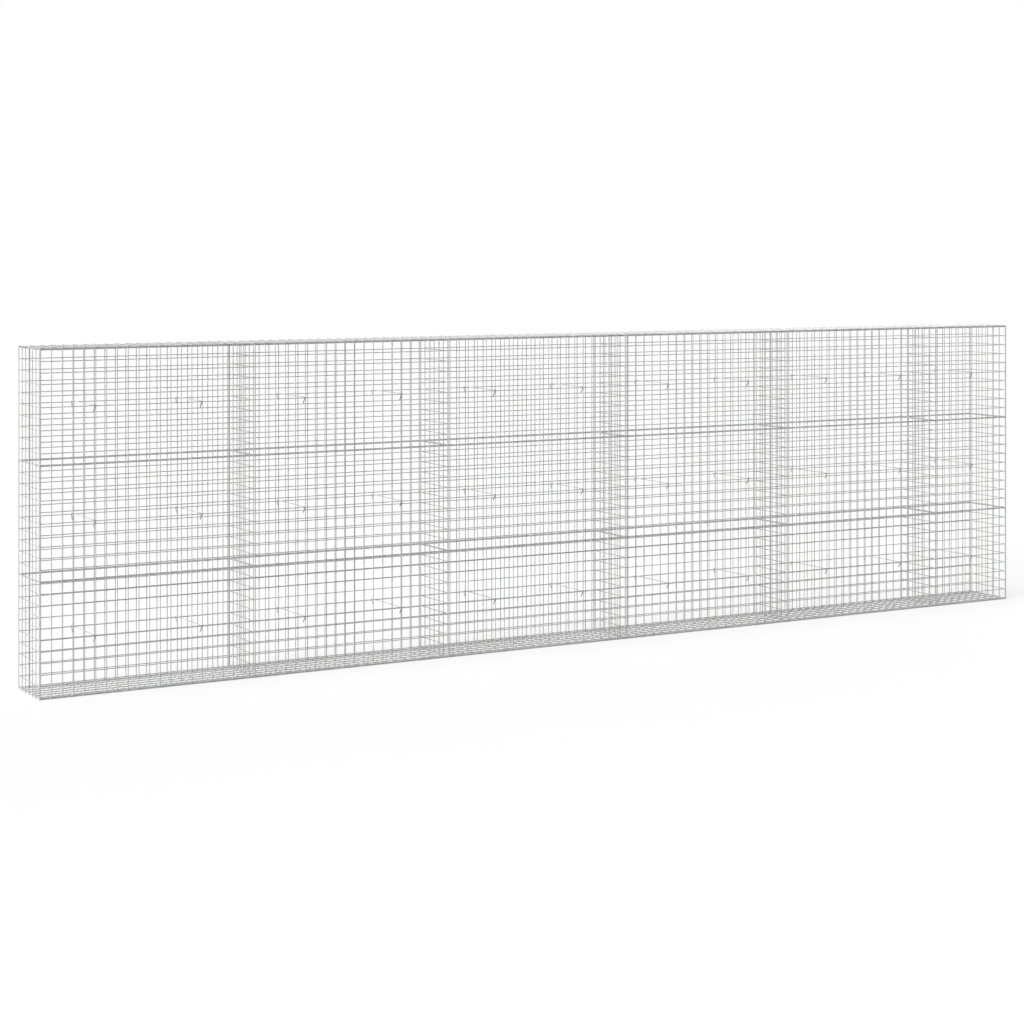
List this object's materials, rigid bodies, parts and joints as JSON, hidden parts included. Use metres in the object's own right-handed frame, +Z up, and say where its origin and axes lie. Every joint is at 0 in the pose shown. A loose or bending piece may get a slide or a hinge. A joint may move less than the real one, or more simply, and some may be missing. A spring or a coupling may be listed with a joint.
{
  "type": "gabion wall",
  "caption": "Empty gabion wall of welded wire mesh baskets in a row, with partitions, spacer ties through the wall and hinged mesh covers.",
  "frame": {"origin": "middle of the footprint at ground level, on the underside of the base panel's middle wire", "axes": "+X along the wall towards the short basket, +Y from the front to the back, where the covers are hinged, +Z up"},
  "size_m": [5.5, 0.31, 1.5125],
  "materials": {
    "mesh": "galvanised, dull",
    "ties": "galvanised, dull",
    "rings": "galvanised, satin"
  },
  "bodies": {
    "basket": {"front_lower_left": "mesh", "front_lower_middle": "mesh", "front_lower_right": "mesh", "front_centre_left": "mesh", "front_centre_middle": "mesh", "front_centre_right": "mesh", "front_upper_left": "mesh", "front_upper_middle": "mesh", "front_upper_right": "mesh", "back_lower_left": "mesh", "back_lower_middle": "mesh", "back_lower_right": "mesh", "back_centre_left": "mesh", "back_centre_middle": "mesh", "back_centre_right": "mesh", "back_upper_left": "mesh", "back_upper_middle": "mesh", "back_upper_right": "mesh", "left_end": "mesh", "partition_1": "mesh", "partition_2": "mesh", "partition_3": "mesh", "partition_4": "mesh", "partition_5": "mesh", "right_end": "mesh", "base_left": "mesh", "base_middle": "mesh", "base_right": "mesh", "ties_lower": "ties", "ties_centre": "ties", "ties_upper": "ties", "hinge_rings": "rings"},
    "cover_1": {"cover_1": "mesh"},
    "cover_2": {"cover_2": "mesh"},
    "cover_3": {"cover_3": "mesh"},
    "cover_4": {"cover_4": "mesh"},
    "cover_5": {"cover_5": "mesh"},
    "cover_6": {"cover_6": "mesh"}
  },
  "joints": [
    {"name": "cover_1_hinge", "type": "hinge", "parent": "basket", "child": "cover_1", "pos_m": [-2.25, 0.1445, 1.507], "axis": [-1, 0, 0], "range_deg": [0, 110]},
    {"name": "cover_2_hinge", "type": "hinge", "parent": "basket", "child": "cover_2", "pos_m": [-1.25, 0.1445, 1.507], "axis": [-1, 0, 0], "range_deg": [0, 110]},
    {"name": "cover_3_hinge", "type": "hinge", "parent": "basket", "child": "cover_3", "pos_m": [-0.25, 0.1445, 1.507], "axis": [-1, 0, 0], "range_deg": [0, 110]},
    {"name": "cover_4_hinge", "type": "hinge", "parent": "basket", "child": "cover_4", "pos_m": [0.75, 0.1445, 1.507], "axis": [-1, 0, 0], "range_deg": [0, 110]},
    {"name": "cover_5_hinge", "type": "hinge", "parent": "basket", "child": "cover_5", "pos_m": [1.75, 0.1445, 1.507], "axis": [-1, 0, 0], "range_deg": [0, 110]},
    {"name": "cover_6_hinge", "type": "hinge", "parent": "basket", "child": "cover_6", "pos_m": [2.5, 0.1445, 1.507], "axis": [-1, 0, 0], "range_deg": [0, 110]}
  ]
}
